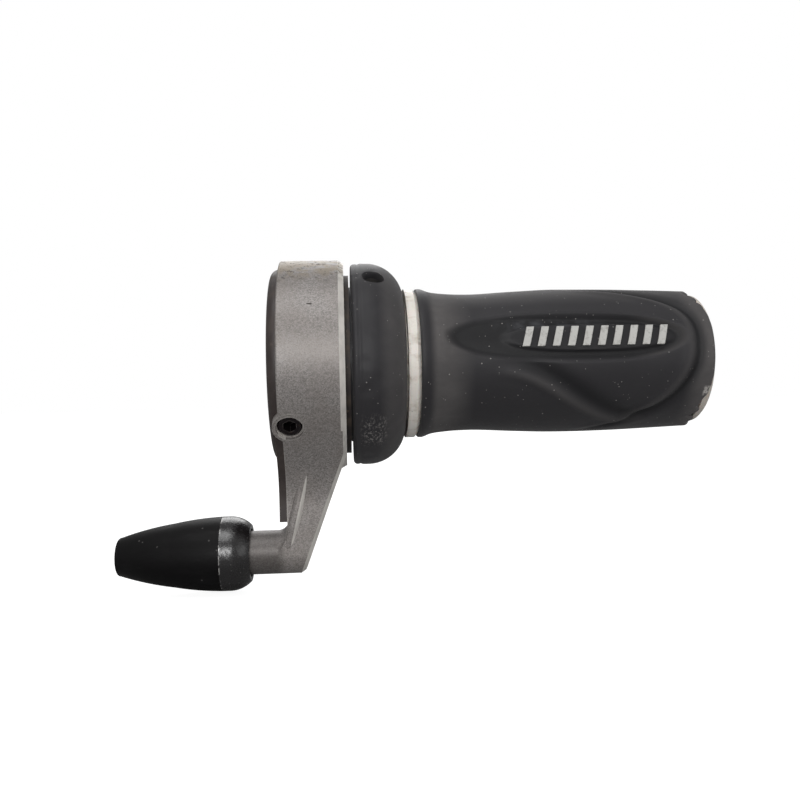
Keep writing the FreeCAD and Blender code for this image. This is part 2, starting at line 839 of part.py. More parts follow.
def make_cover_screws():
    """Three small pan-head screws with a cross recess, as one group."""
    body = new_body("cover_screw_blank")
    turn(
        body,
        [
            ("0.05", "0"),
            ("0.05", "cover_head_radius - 0.5"),
            ("0.45", "cover_head_radius"),
            ("cover_head_length", "cover_head_radius"),
            ("cover_head_length", "cover_screw_radius"),
            ("cover_screw_length", "cover_screw_radius"),
            ("cover_screw_length + 0.5", "cover_screw_radius/2"),
            ("cover_screw_length + 0.5", "0"),
        ],
    )
    for wide, tall in ((1.1, 0.22), (0.22, 1.1)):
        slot = new_sketch(body, "YZ_Plane")
        draw_frame_of(slot, -wide, wide, -tall, tall)
        pocket(body, slot, "0.75")
    copies = []
    for angle in COVER_SCREW_ANGLES:
        copy = body.Shape.copy()
        copy.translate(ring_point(0, size("cover_screw_circle"), angle))
        copies.append(copy)
    keep(hold_shape("cover_screws", Part.makeCompound(copies)))


def make_clamp_screw():
    """The cup-point set screw that clamps the shifter to the bar, with its hex socket outwards."""
    body = new_body("clamp_screw")
    turn(
        body,
        [
            ("0", "0"),
            ("0", "clamp_screw_radius - 0.7"),
            ("0.6", "clamp_screw_radius"),
            ("clamp_screw_length - 0.4", "clamp_screw_radius"),
            ("clamp_screw_length", "clamp_screw_radius - 0.4"),
            ("clamp_screw_length", "0"),
        ],
    )
    socket = new_sketch(body, "YZ_Plane", "clamp_screw_length - clamp_hex_depth")
    corners = [
        (f"clamp_hex_radius*cos({60 * index})", f"clamp_hex_radius*sin({60 * index})")
        for index in range(6)
    ]
    pocket(body, draw_outline(socket, corners), "2*clamp_hex_depth")
    outwards = FreeCAD.Rotation(FreeCAD.Vector(0, 1, 0), -90)
    body.Placement = radial("clamp_station", "clamp_angle", "clamp_screw_start").multiply(
        FreeCAD.Placement(FreeCAD.Vector(), outwards)
    )
    return keep(body)


def make_clamp_shoe():
    """The pad between the clamp screw and the handlebar, hollowed to the bar's radius."""
    body = new_body("clamp_shoe")
    below = radial("clamp_station", "clamp_angle", "bar_radius - 1")
    rod(body, "Additive", "clamp_shoe_radius", "clamp_shoe_top - bar_radius + 1", below)
    pocket(body, draw_circle(new_sketch(body, "YZ_Plane"), "0", "0", "bar_radius"))
    return keep(body)


def make_retainer_ring():
    """The dark ring snapped into the housing, which keeps the drum in; its lip shows in the gap."""
    body = new_body("retainer_ring")
    turn(
        body,
        [
            ("retainer_start", "retainer_inner"),
            ("retainer_start", "shell_radius - fit"),
            ("snap_start + fit", "shell_radius - fit"),
            ("snap_start + fit", "snap_radius - fit"),
            ("snap_end - fit", "snap_radius - fit"),
            ("snap_end - fit", "shell_radius - fit"),
            ("retainer_step", "shell_radius - fit"),
            ("retainer_step", "retainer_lip"),
            ("retainer_end", "retainer_lip"),
            ("retainer_end", "retainer_inner"),
        ],
    )
    return keep(body)


def make_thrust_washer():
    """The washer between the housing's web and the drum's inboard flange."""
    body = new_body("thrust_washer")
    turn(
        body,
        [
            ("web_end + 0.02", "washer_inner"),
            ("web_end + 0.02", "washer_outer"),
            ("drum_start - fit", "washer_outer"),
            ("drum_start - fit", "washer_inner"),
        ],
    )
    return keep(body)


def make_detent_spring():
    """The leaf spring whose nose clicks into the drum's notches."""
    body = new_body("detent_spring")
    outer = "(spring_radius + spring_thickness/2)"
    inner = "(spring_radius - spring_thickness/2)"
    nose = 6.0
    corners = [
        polar(outer, "spring_angle + spring_reach"),
        polar(outer, f"spring_angle + {nose}"),
        polar("spring_nose + spring_thickness", "spring_angle"),
        polar(outer, f"spring_angle - {nose}"),
        polar(outer, "spring_angle - spring_reach"),
        polar(inner, "spring_angle - spring_reach"),
        polar(inner, f"spring_angle - {nose} - 0.6"),
        polar("spring_nose", "spring_angle"),
        polar(inner, f"spring_angle + {nose} + 0.6"),
        polar(inner, "spring_angle + spring_reach"),
    ]
    bends = {0: (outer, -1), 3: (outer, -1), 5: (inner, 1), 8: (inner, 1)}
    leaf = new_sketch(body, "YZ_Plane", "stop_start + 0.3")
    pad(body, draw_outline(leaf, corners, bends), "spring_width")
    return keep(body)


def make_cable_pieces():
    """The guide in the elbow and the fixed run of the gear cable."""
    elbow = Elbow()
    lead = elbow.start - elbow.heading * size("guide_lead")
    straight = Part.makeLine(lead, elbow.start)
    tube = [swept([straight, elbow.bend()], size(radius)) for radius in ("guide_radius", "guide_bore")]
    keep(hold_shape("cable_guide", solid_of(tube[0]).cut(solid_of(tube[1]))))
    tail = FreeCAD.Vector(size("wire_end"), elbow.end.y, elbow.end.z)
    run = [Part.makeLine(elbow.leave, elbow.start), elbow.bend(), Part.makeLine(elbow.end, tail)]
    keep(hold_shape("inner_cable", solid_of(swept(run, size("wire_radius")))))


def solid_of(shape):
    return shape if shape.ShapeType == "Solid" else Part.Solid(shape)


def make_adjuster_spring():
    """The coil spring that keeps the barrel from turning by itself."""
    slack = size("coil_wire") + 0.1
    length = size("boss_start - skirt_floor") - 2 * slack
    helix = Part.makeHelix(length / size("coil_turns"), length, size("coil_radius"))
    begin = FreeCAD.Vector(size("coil_radius"), 0, 0)
    profile = Part.Wire(Part.makeCircle(size("coil_wire"), begin, FreeCAD.Vector(0, 1, 0)))
    coil = solid_of(helix.makePipeShell([profile], True, True))
    along_bar = FreeCAD.Rotation(FreeCAD.Vector(0, 1, 0), 90)
    item = hold_shape("adjuster_spring", coil)
    item.Placement = FreeCAD.Placement(FreeCAD.Vector(size("skirt_floor") + slack, 0, 0), along_bar)
    return keep(onto_barrel_axis(item))


# Pieces that turn with the grip


def make_shift_tube():
    """The white tube that carries the drum, the collar and the grip, with its flange between them."""
    body = new_body("shift_tube")
    turn(
        body,
        [
            ("drum_start", "tube_bore"),
            ("drum_start", "tube_radius"),
            ("flange_start", "tube_radius"),
            ("flange_start", "flange_radius"),
            ("flange_end - flange_bevel", "flange_radius"),
            ("flange_end", "flange_radius - flange_bevel"),
            ("flange_end", "tube_radius"),
            ("tube_bead_start", "tube_radius"),
            ("tube_bead_start", "tube_bead_radius"),
            ("tube_end - 0.3", "tube_bead_radius"),
            ("tube_end", "tube_bead_radius - 0.3"),
            ("tube_end", "tube_outer_bore"),
            ("tube_step", "tube_outer_bore"),
            ("tube_step", "tube_bore"),
        ],
    )
    repeat(body, pad(body, draw_spline(body), "spline_end - spline_start"), "4", "360")
    return keep(body)


def draw_spline(body):
    """The cross-section of one spline between the tube and the grip."""
    outline = new_sketch(body, "YZ_Plane", "spline_start")
    half = "spline_half_width"
    return draw_frame_of(outline, f"-{half}", half, "tube_radius - 0.4", "spline_radius")


def make_cable_spool():
    """The drum: the cable's groove, the notched detent flange, its stop lug and the neck to the collar."""
    body = new_body("cable_spool_blank")
    turn(
        body,
        [
            ("drum_start", "drum_bore"),
            ("drum_start", "drum_flange_radius"),
            ("drum_start + 0.3", "drum_flange_radius"),
            ("groove_start", "groove_radius"),
            ("groove_end", "groove_radius"),
            ("groove_end", "detent_radius"),
            ("detent_end", "detent_radius"),
            ("detent_end", "neck_radius"),
            ("drum_end", "neck_radius"),
            ("drum_end", "drum_bore"),
        ],
    )
    notch = new_sketch(body, "YZ_Plane", "groove_end - 0.5")
    half = "detent_half_angle"
    draw_outline(
        notch,
        [
            polar("detent_radius + 0.5", f"spring_angle - 1.4*{half}"),
            polar("detent_radius + 0.5", f"spring_angle + 1.4*{half}"),
            polar("detent_radius - detent_depth", "spring_angle + 0.6"),
            polar("detent_radius - detent_depth", "spring_angle - 0.6"),
        ],
    )
    first = pocket(body, notch, "detent_end - groove_end + 1")
    pattern = repeat(body, first, "detent_count", "detent_pitch*(detent_count - 1)")
    pattern.Reversed = True
    doc.recompute()
    lug = new_sketch(body, "YZ_Plane", "stop_start + 0.2")
    draw_sector(
        lug, "detent_radius - 1", "lug_radius", "lug_angle - lug_half_angle", "lug_angle + lug_half_angle"
    )
    pad(body, lug, "spring_width")
    return keep(cut_from("cable_spool", body, Lead().tunnel()))


def head_pocket():
    """The room for the cable's head, open to the hole in the collar."""
    outboard = FreeCAD.Vector(1, 0, 0)
    begin = Lead().head - outboard * 0.1
    room = Part.makeCylinder(size("head_radius + fit"), size("head_length") + 0.2, begin, outboard)
    place = radial("head_station", "head_angle", "drum_wire_radius")
    outwards = place.Rotation.multVec(FreeCAD.Vector(0, 0, 1))
    return room.fuse(Part.makeCylinder(size("access_radius"), 8, place.Base, outwards))


def collar_curve(skin):
    """The station and radius formulas where the collar's end curve, less a skin, meets a radius."""
    centre = "(collar_radius - collar_curve)"
    curve = f"(collar_curve - {skin})"

    def station(radius):
        return f"collar_flat_end + sqrt({curve}^2 - (({radius}) - {centre})^2)"

    return curve, station


def make_collar_core():
    """The hard core under the collar's rubber, fixed to the tube and the drum."""
    body = new_body("collar_core_blank")
    curve, station = collar_curve("collar_skin")
    inside = "collar_lip - 0.6"
    turn(
        body,
        [
            ("collar_start", "tube_radius"),
            ("collar_start", "collar_rim"),
            ("collar_start + 1", "collar_rim"),
            ("collar_start + 1", "collar_radius - collar_skin"),
            ("collar_flat_end", "collar_radius - collar_skin"),
            (station(inside), inside),
            (station(inside), "tube_radius"),
        ],
        {4: (curve, 1)},
    )
    return keep(cut_from("collar_core", body, Lead().tunnel().fuse(head_pocket())))


def make_collar_cover():
    """The collar's rubber skin, with the hole for changing the cable."""
    body = new_body("collar_cover")
    curve, station = collar_curve("collar_skin")
    outer_curve, outer_station = collar_curve("0")
    inside = "collar_lip - 0.6"
    turn(
        body,
        [
            ("collar_start", "collar_rim"),
            ("collar_start", "collar_radius - collar_edge"),
            ("collar_start + collar_edge", "collar_radius"),
            ("collar_flat_end", "collar_radius"),
            (outer_station("collar_lip"), "collar_lip"),
            (outer_station("collar_lip"), inside),
            (station(inside), inside),
            ("collar_flat_end", "collar_radius - collar_skin"),
            ("collar_start + 1", "collar_radius - collar_skin"),
            ("collar_start + 1", "collar_rim"),
        ],
        {1: ("collar_edge", 1), 3: (outer_curve, 1), 6: (curve, -1)},
    )
    rod(body, "Subtractive", "access_radius", "8", radial("head_station", "head_angle", "drum_wire_radius"))
    return keep(body)


def make_grip_sleeve():
    """The rubber grip, moulded over the tube's splines, with its leaf-shaped recess at the front."""
    body = new_body("grip_sleeve_blank")
    turn(
        body,
        [
            ("flange_end", "tube_radius"),
            ("flange_end", "grip_lip_radius"),
            ("grip_lip_end", "grip_lip_radius"),
            ("grip_neck_start", "grip_neck_radius"),
            ("grip_neck_end", "grip_neck_radius"),
            ("grip_belly_start", "grip_belly_radius"),
            ("grip_belly_end", "grip_belly_radius"),
            ("grip_tail_start", "grip_tail_radius"),
            ("grip_end - grip_end_round", "grip_tail_radius"),
            ("grip_end", "grip_tail_radius - grip_end_round"),
            ("grip_end", "tube_bead_radius"),
            ("tube_bead_start", "tube_bead_radius"),
            ("tube_bead_start", "tube_radius"),
        ],
        {8: ("grip_end_round", 1)},
    )
    groove = pocket(body, draw_spline(body), "spline_end - spline_start")
    repeat(body, groove, "4", "360")
    return keep(cut_from("grip_sleeve", body, recess_shape()))


def leaf_face(half_length, half_height):
    """A leaf outline with blunt ends, standing at the front of the grip and facing along its radius."""
    place = radial("recess_station", "recess_angle", "tube_radius")
    along = place.Rotation.multVec(FreeCAD.Vector(1, 0, 0))
    across = place.Rotation.multVec(FreeCAD.Vector(0, 1, 0))
    power = 2 / size("recess_bluntness")
    points = []
    for step in range(32):
        phase = 2 * math.pi * step / 32
        cosine, sine = math.cos(phase), math.sin(phase)
        points.append(
            place.Base
            + along * math.copysign(half_length * abs(cosine) ** power, cosine)
            + across * math.copysign(half_height * abs(sine) ** power, sine)
        )
    outline = Part.BSplineCurve()
    outline.interpolate(Points=points, PeriodicFlag=True)
    return Part.Face(Part.Wire(outline.toShape()))


def recess_shape():
    """The leaf, from the recess's curved floor outwards."""
    place = radial("recess_station", "recess_angle", "0")
    outwards = place.Rotation.multVec(FreeCAD.Vector(0, 0, 1))
    leaf = leaf_face(size("recess_half_length"), size("recess_half_height")).extrude(outwards * 6)
    core = Part.makeCylinder(size("recess_floor"), 2 * FAR, FreeCAD.Vector(-FAR, 0, 0), FreeCAD.Vector(1, 0, 0))
    return leaf.cut(core)


def make_grip_inlay():
    """Plain slanted bars that stand on the recess's floor."""
    inner, outer = size("recess_floor"), size("mark_radius")
    place = radial("recess_station", "recess_angle", "0")
    outwards = place.Rotation.multVec(FreeCAD.Vector(0, 0, 1))
    across = place.Rotation.multVec(FreeCAD.Vector(0, 1, 0))
    high, slant, wide = size("mark_half_height"), size("mark_slant"), size("mark_width")
    shell = Part.makeCylinder(outer, 2 * FAR, FreeCAD.Vector(-FAR, 0, 0), FreeCAD.Vector(1, 0, 0)).cut(
        Part.makeCylinder(inner, 2 * FAR, FreeCAD.Vector(-FAR, 0, 0), FreeCAD.Vector(1, 0, 0))
    )
    bars = []
    for index in range(int(size("mark_count"))):
        middle = FreeCAD.Vector(size("mark_start + mark_width/2") + index * size("mark_pitch"), 0, 0)
        corners = [
            middle + FreeCAD.Vector(side * wide / 2 + rise * slant / 2, 0, 0) + across * (rise * high)
            for side, rise in ((-1, -1), (1, -1), (1, 1), (-1, 1))
        ]
        bar = Part.Face(Part.makePolygon([*corners, corners[0]])).extrude(outwards * FAR)
        bars.append(bar.common(shell).Solids[0])
    keep(hold_shape("grip_inlay", Part.makeCompound(bars)))


def make_cable_head():
    """The cable's moulded head with the stretch of wire that rides on the turning drum."""
    lead = Lead()
    head = Part.makeCylinder(size("head_radius"), size("head_length"), lead.head, FreeCAD.Vector(1, 0, 0))
    wire = solid_of(swept(lead.path(), size("wire_radius")))
    keep(hold_shape("cable_head", head.fuse(wire)))


# Barrel adjuster


def make_adjuster_stem():
    """The hollow threaded stem that screws into the boss."""
    body = new_body("adjuster_stem")
    turn(
        body,
        [
            ("stem_start", "stem_bore"),
            ("stem_start", "stem_radius"),
            ("stem_end - 0.5", "stem_radius"),
            ("stem_end", "stem_radius - 0.5"),
            ("stem_end", "stem_bore"),
        ],
    )
    return keep(onto_barrel_axis(body))


def make_adjuster_body():
    """The long matt cone, with the casing's socket in its tip."""
    body = new_body("adjuster_body")
    turn(
        body,
        [
            ("seam_station", "skirt_radius"),
            ("skirt_floor", "skirt_radius"),
            ("skirt_floor", "stem_radius"),
            ("stem_start", "stem_radius"),
            ("stem_start", "stem_bore"),
            ("ferrule_end + fit", "stem_bore"),
            ("ferrule_end + fit", "ferrule_radius + fit"),
            ("tip_station", "ferrule_radius + fit"),
            ("tip_station", "tip_radius - 0.6"),
            ("tip_station + 0.6", "tip_radius"),
            ("waist_station", "waist_radius"),
            ("seam_station", "shoulder_radius"),
        ],
        {8: ("0.6", 1), 9: ("60", 1), 10: ("60", 1)},
    )
    return keep(onto_barrel_axis(body))


def make_adjuster_sleeve():
    """The glossy band that forms the barrel's skirt over the boss."""
    body = new_body("adjuster_sleeve")
    turn(
        body,
        [
            ("skirt_mouth", "skirt_radius"),
            ("skirt_mouth", "skirt_mouth_radius"),
            ("shoulder_station", "shoulder_radius"),
            ("seam_station", "shoulder_radius"),
            ("seam_station", "skirt_radius"),
        ],
        {1: ("6", -1)},
    )
    return keep(onto_barrel_axis(body))


def make_casing_ferrule():
    """The cup in the barrel's tip that the cable casing's end pushes into."""
    body = new_body("casing_ferrule")
    turn(
        body,
        [
            ("ferrule_start", "ferrule_bore"),
            ("ferrule_start", "ferrule_radius"),
            ("ferrule_end", "ferrule_radius"),
            ("ferrule_end", "guide_bore"),
            ("ferrule_floor", "guide_bore"),
            ("ferrule_floor", "ferrule_bore"),
        ],
    )
    return keep(onto_barrel_axis(body))


def keep(item):
    """Marks a finished piece as a node to export."""
    nodes.append(item)
    return item


def export_nodes():
    """Checks every object, then writes one STEP file for each node."""
    doc.recompute()
    failed = [item.Name for item in doc.Objects if {"Invalid", "Error"} & set(item.State)]
    if failed:
        raise RuntimeError(f"these objects failed: {failed}")
    for item in nodes:
        if item.Shape.isNull() or not item.Shape.isValid():
            raise RuntimeError(f"{item.Label} has no valid shape")
    os.makedirs("parts", exist_ok=True)
    for item in nodes:
        item.Shape.exportStep(os.path.join("parts", f"{item.Label}.step"))
        print(item.Label, len(item.Shape.Solids), round(item.Shape.Volume, 1))


fill_sheet()
make_housing()
make_end_cover()
make_cover_screws()
make_mandrel()
make_clamp_screw()
make_clamp_shoe()
make_retainer_ring()
make_thrust_washer()
make_detent_spring()
make_cable_pieces()
make_adjuster_spring()
make_shift_tube()
make_cable_spool()
make_collar_core()
make_collar_cover()
make_grip_sleeve()
make_grip_inlay()
make_cable_head()
make_adjuster_stem()
make_adjuster_body()
make_adjuster_sleeve()
make_casing_ferrule()
export_nodes()
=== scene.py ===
import json
import math

import bmesh
import bpy
from mathutils import Matrix, Vector, noise


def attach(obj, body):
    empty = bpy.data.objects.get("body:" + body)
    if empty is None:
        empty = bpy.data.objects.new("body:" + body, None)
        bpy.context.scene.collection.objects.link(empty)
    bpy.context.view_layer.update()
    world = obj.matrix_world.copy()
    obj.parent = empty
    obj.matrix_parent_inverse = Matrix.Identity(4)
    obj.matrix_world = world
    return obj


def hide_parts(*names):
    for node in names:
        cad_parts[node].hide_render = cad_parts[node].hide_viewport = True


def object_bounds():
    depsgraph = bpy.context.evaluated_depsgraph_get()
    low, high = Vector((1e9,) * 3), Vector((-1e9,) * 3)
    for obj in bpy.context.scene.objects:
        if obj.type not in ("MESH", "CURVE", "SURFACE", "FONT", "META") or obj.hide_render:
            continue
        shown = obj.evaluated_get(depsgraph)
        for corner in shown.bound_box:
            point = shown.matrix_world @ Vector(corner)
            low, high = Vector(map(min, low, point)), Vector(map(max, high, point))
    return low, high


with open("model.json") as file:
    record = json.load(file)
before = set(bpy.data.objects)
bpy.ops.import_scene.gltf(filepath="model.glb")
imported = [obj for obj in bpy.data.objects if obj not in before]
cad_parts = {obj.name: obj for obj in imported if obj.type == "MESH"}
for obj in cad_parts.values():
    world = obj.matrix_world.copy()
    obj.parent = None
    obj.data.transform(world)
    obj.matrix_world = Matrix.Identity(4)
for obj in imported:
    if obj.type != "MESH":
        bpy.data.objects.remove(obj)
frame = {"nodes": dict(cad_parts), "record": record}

# A twist-grip gear shifter. Shapes and materials are written in millimetres, and MM turns them into metres.
# Lights, the camera and the floor are written in metres. A station is a distance along the handlebar (X).
# Angles are in degrees round the handlebar, from the front (-Y), counted downwards.
CAD_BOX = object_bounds()
MM = 0.001


# ---------------------------------------------------------------- shapes

# An edge that turns by more degrees than this stays hard.
HARD_EDGE = 40
HOLE_SIDES = 40


def smooth(low, high, value):
    """0 up to low and 1 from high, with an even curve in between."""
    share = min(max((value - low) / (high - low), 0.0), 1.0)
    return share * share * (3 - 2 * share)


def bell(value, width):
    """1 at value 0, falling to nothing within about two widths."""
    return math.exp(-((value / width) ** 2))


def curve_through(points, value):
    """The height at value of a smooth curve through (place, height) points."""
    places = [place for place, _ in points]
    heights = [height for _, height in points]
    last = len(points) - 1
    spot = max(index for index in range(last) if index == 0 or places[index] <= value)

    def slope(index):
        before, after = max(index - 1, 0), min(index + 1, last)
        return (heights[after] - heights[before]) / (places[after] - places[before])

    length = places[spot + 1] - places[spot]
    t = min(max((value - places[spot]) / length, 0.0), 1.0)
    return (
        (2 * t**3 - 3 * t**2 + 1) * heights[spot]
        + (t**3 - 2 * t**2 + t) * length * slope(spot)
        + (3 * t**2 - 2 * t**3) * heights[spot + 1]
        + (t**3 - t**2) * length * slope(spot + 1)
    )


def on_ring(station, radius, angle):
    """The point at that station and radius, at that angle round the handlebar, in metres."""
    turn = math.radians(angle)
    return Vector((station, -radius * math.cos(turn), -radius * math.sin(turn))) * MM


def lathe(name, rows, columns):
    """A closed mesh round the handlebar. rows(angle) gives its outline there, as (station, radius) pairs."""
    rings = [rows(360 * column / columns) for column in range(columns)]
    count = len(rings[0])
    mesh = bmesh.new()
    grid = []
    for column, outline in enumerate(rings):
        angle = 360 * column / columns
        grid.append([mesh.verts.new(on_ring(station, radius, angle)) for station, radius in outline])
    for column in range(columns):
        this, after = grid[column], grid[(column + 1) % columns]
        for row in range(count):
            below = (row + 1) % count
            mesh.faces.new((this[row], this[below], after[below], after[row]))
    bmesh.ops.recalc_face_normals(mesh, faces=mesh.faces)
    return finish_mesh(name, mesh)


def finish_mesh(name, mesh):
    """Turns a bmesh into an object in the scene, with smooth faces and its hard edges kept."""
    data = bpy.data.meshes.new(name)
    mesh.to_mesh(data)
    mesh.free()
    shade(data)
    piece = bpy.data.objects.new(name, data)
    bpy.context.scene.collection.objects.link(piece)
    return piece


def shade(data):
    """Smooth faces, apart from the edges that turn by more than HARD_EDGE degrees."""
    for face in data.polygons:
        face.use_smooth = True
    data.set_sharp_from_angle(angle=math.radians(HARD_EDGE))


def drill(piece, station, angle, radius, start, end):
    """Drills a hole with a softened mouth into piece, towards the handlebar, from end down to start."""
    mesh = bmesh.new()
    rings = []
    outwards = on_ring(0, 1, angle) / MM
    along = Vector((1, 0, 0))
    across = outwards.cross(along)
    outline = ((start, radius), (end - 0.55, radius), (end - 0.2, radius + 0.12), (end + 1.5, radius + 1.1))
    for height, width in outline:
        centre = Vector((station, 0, 0)) + outwards * height
        ring = []
        for step in range(HOLE_SIDES):
            phase = 2 * math.pi * step / HOLE_SIDES
            point = centre + (along * math.cos(phase) + across * math.sin(phase)) * width
            ring.append(mesh.verts.new(point * MM))
        rings.append(ring)
    for low, high in zip(rings, rings[1:]):
        for step in range(HOLE_SIDES):
            following = (step + 1) % HOLE_SIDES
            mesh.faces.new((low[step], low[following], high[following], high[step]))
    mesh.faces.new(rings[0])
    mesh.faces.new(rings[-1])
    bmesh.ops.recalc_face_normals(mesh, faces=mesh.faces)
    cutter = finish_mesh("cutter", mesh)
    cut = piece.modifiers.new("hole", "BOOLEAN")
    cut.operation = "DIFFERENCE"
    cut.solver = "EXACT"
    cut.object = cutter
    graph = bpy.context.evaluated_depsgraph_get()
    piece.data = bpy.data.meshes.new_from_object(piece.evaluated_get(graph))
    piece.modifiers.clear()
    bpy.data.objects.remove(cutter)
    shade(piece.data)


# ---------------------------------------------------------------- the grip

GRIP_START, GRIP_END = 30.42, 91.28
# The turned profile, as (station, radius).
GRIP_PROFILE = (
    (30.4, 16.05), (31.5, 16.05), (33.3, 15.4), (35.7, 15.05), (39.0, 14.82), (43.5, 14.8),
    (51.5, 15.25), (60.0, 15.58), (72.0, 15.55), (81.0, 15.28), (88.5, 15.0), (91.3, 14.95),
)
# The radius of the leaf-shaped recess's floor, and of the low pad in it that carries the marks.
LEAF_FLOOR, PAD_FLOOR = 14.2, 14.6
LEAF_ANGLE = -17.0
# The radius of the grip's bore, beside the tube's flange and along its splines.
TUBE_WALL, SPLINE_WALL = 13.35, 13.95
# The largest radius that the grip may have.
GRIP_LIMIT = 16.08
GRIP_ROWS, GRIP_COLUMNS = 200, 360
# The grip's surface in millimetres for each degree round it.
PER_DEGREE = math.radians(15.2)


def around(angle):
    """The angle brought between -180 and 180 degrees."""
    return (angle + 180) % 360 - 180


def leaf_share(station, angle):
    """How far inside the leaf-shaped recess a place is: 1 on its floor, 0 outside."""
    middle = LEAF_ANGLE + 1.5 * (station - 60.2) / 24.5
    long = abs((station - 60.5) / 25.2)
    tall = abs((angle - middle) / 20.5)
    reach = (long**2.6 + tall**2.0) ** 0.5
    steep = 0.13 + 0.15 * bell(station - 62, 14)
    return 1 - smooth(1.0 - steep, 1.03, reach)


def pad_share(station, angle):
    """How far inside the low pad that carries the marks a place is."""
    long = abs((station - 65.2) / 18.6)
    tall = abs((angle - LEAF_ANGLE) / 12.5)
    return 1 - smooth(0.86, 1.02, (long**2.6 + tall**2.2) ** 0.45)


def paddle_edge(angle):
    """How far outboard the thumb paddle reaches at this angle."""
    below = angle + 10
    if below < 0:
        return 87.0 - 0.000093 * abs(below) ** 3
    return 87.0 - 0.0013 * below**2.2


def from_paddle_edge(station, angle):
    """The distance outboard of the paddle's edge, along the surface."""
    slope = (paddle_edge(angle + 1) - paddle_edge(angle - 1)) / (2 * PER_DEGREE)
    return (station - paddle_edge(angle)) / math.hypot(1, slope)


def edge_weight(station, angle):
    """How strongly the paddle's edge shows at a place, from 0 to 1."""
    return smooth(-118, -80, angle) * (1 - smooth(62, 84, angle)) * smooth(60, 72, station)


def ridge_line(station):
    """The angle that the S-shaped ridge below the paddle has at this station."""
    return 8.5 + 47 * smooth(48, 76, station)


def from_ridge(station, angle):
    """The distance below the S-shaped ridge, along the surface."""
    line = ridge_line(station)
    ahead = 0.5
    slope = (ridge_line(station + ahead) - line) * PER_DEGREE / ahead
    return (angle - line) * PER_DEGREE / math.hypot(1, slope)


def ridge_weight(station):
    """How strongly the S-shaped ridge shows at this station, from 0 to 1."""
    return smooth(43, 56, station) * (1 - smooth(73, 81, station))


def grip_sculpt(station, angle):
    """How far the grip's moulded surface stands above its turned profile, leaf recess left out."""
    outboard = from_paddle_edge(station, angle)
    shown = edge_weight(station, angle)
    crest = 0.3 * bell(outboard + 1.2, 1.4) + 0.16 * bell(outboard + 4.5, 3.5)
    height = shown * (crest - 0.72 * bell(outboard - 0.9, 1.1))
    height -= 0.1 * shown * smooth(0.2, 2.0, outboard)
    below = from_ridge(station, angle)
    height += ridge_weight(station) * (0.5 * bell(below - 0.9, 1.3) - 0.7 * bell(below + 1.6, 2.0))
    flank = smooth(40, 52, station) * smooth(3, 20, angle) * (1 - smooth(60, 90, angle))
    height -= 0.12 * flank * (1 - smooth(0, 4, below))
    return height


def worn_end(angle):
    """Where the rubber ends: it is worn back from the tube's end at the upper and the lower front."""
    wear = 1.9 * bell(angle + 66, 20) + 2.1 * bell(angle - 58, 24)
    turn = math.radians(angle)
    grit = noise.noise(Vector((math.cos(turn), math.sin(turn), 0)) * 9)
    return GRIP_END - max(0.0, wear * (1 + 0.7 * grit))


def grip_radius(station, angle):
    """The grip's outer radius at a place on it."""
    surface = curve_through(GRIP_PROFILE, station) + grip_sculpt(station, angle)
    wobble = noise.noise(on_ring(station, 15, angle) * 120) * 0.03
    share = leaf_share(station, angle)
    if share > 0:
        pad = pad_share(station, angle)
        floor = LEAF_FLOOR + (PAD_FLOOR - LEAF_FLOOR) * pad
        crown = 0.05 * (1 - abs(angle - LEAF_ANGLE) / 20)
        surface += share * (min(floor + crown, surface) - surface)
    lip = 0.3 * bell(station - 35.2, 1.0) * bell(angle - LEAF_ANGLE, 22)
    return min(surface + wobble + lip, GRIP_LIMIT)


def grip_rows(turned):
    """The grip's outline at one angle: outside from the flange to the end, and back along the bore."""
    angle = around(turned)
    end = worn_end(angle)
    round_end = 1.0
    rows = [(GRIP_START, 15.75), (GRIP_START + 0.12, grip_radius(GRIP_START, angle) - 0.06)]
    first, last = GRIP_START + 0.3, end - round_end
    for step in range(GRIP_ROWS + 1):
        station = first + (last - first) * step / GRIP_ROWS
        rows.append((station, grip_radius(station, angle)))
    rim = rows[-1][1]
    for step in range(1, 6):
        phase = math.radians(90 * step / 6)
        drop = round_end * 0.9 * (1 - math.cos(phase))
        rows.append((last + round_end * math.sin(phase), rim - drop))
    rows.append((end, SPLINE_WALL + 0.02))
    rows.append((end - 0.2, SPLINE_WALL))
    rows.append((60.0, SPLINE_WALL))
    rows.append((33.0, SPLINE_WALL))
    rows.append((32.9, TUBE_WALL))
    rows.append((GRIP_START, TUBE_WALL))
    return rows


def hollow_shade_tone(station, angle):
    """1 in the grip's hollows, which are painted dark as shade, and 0 on its open surface."""
    leaf = leaf_share(station, angle) * (1 - 0.45 * pad_share(station, angle))
    groove = edge_weight(station, angle) * bell(from_paddle_edge(station, angle) - 0.9, 1.1)
    foot = 0.8 * ridge_weight(station) * bell(from_ridge(station, angle) + 1.6, 1.9)
    return max(leaf, groove, foot)


def crest_highlight_tone(station, angle):
    """1 along the grip's ridges, which are painted lighter as highlights."""
    edge = edge_weight(station, angle) * bell(from_paddle_edge(station, angle) + 1.0, 0.9)
    ridge = ridge_weight(station) * bell(from_ridge(station, angle) - 0.9, 1.1)
    share = leaf_share(station, angle)
    rim = 4 * share * (1 - share) * smooth(72, 80, station)
    neck = bell(station - 35.0, 1.3) * bell(angle - LEAF_ANGLE, 16)
    return max(0.6 * edge, 0.8 * ridge, rim, neck)


def record_tone(piece, name, tone):
    """Keeps tone(station, angle) at every vertex, for the rubber's material to read."""
    kept = piece.data.attributes.new(name, "FLOAT", "POINT")
    for vertex, entry in zip(piece.data.vertices, kept.data):
        x, y, z = vertex.co / MM
        entry.value = tone(x, math.degrees(math.atan2(-z, -y)))


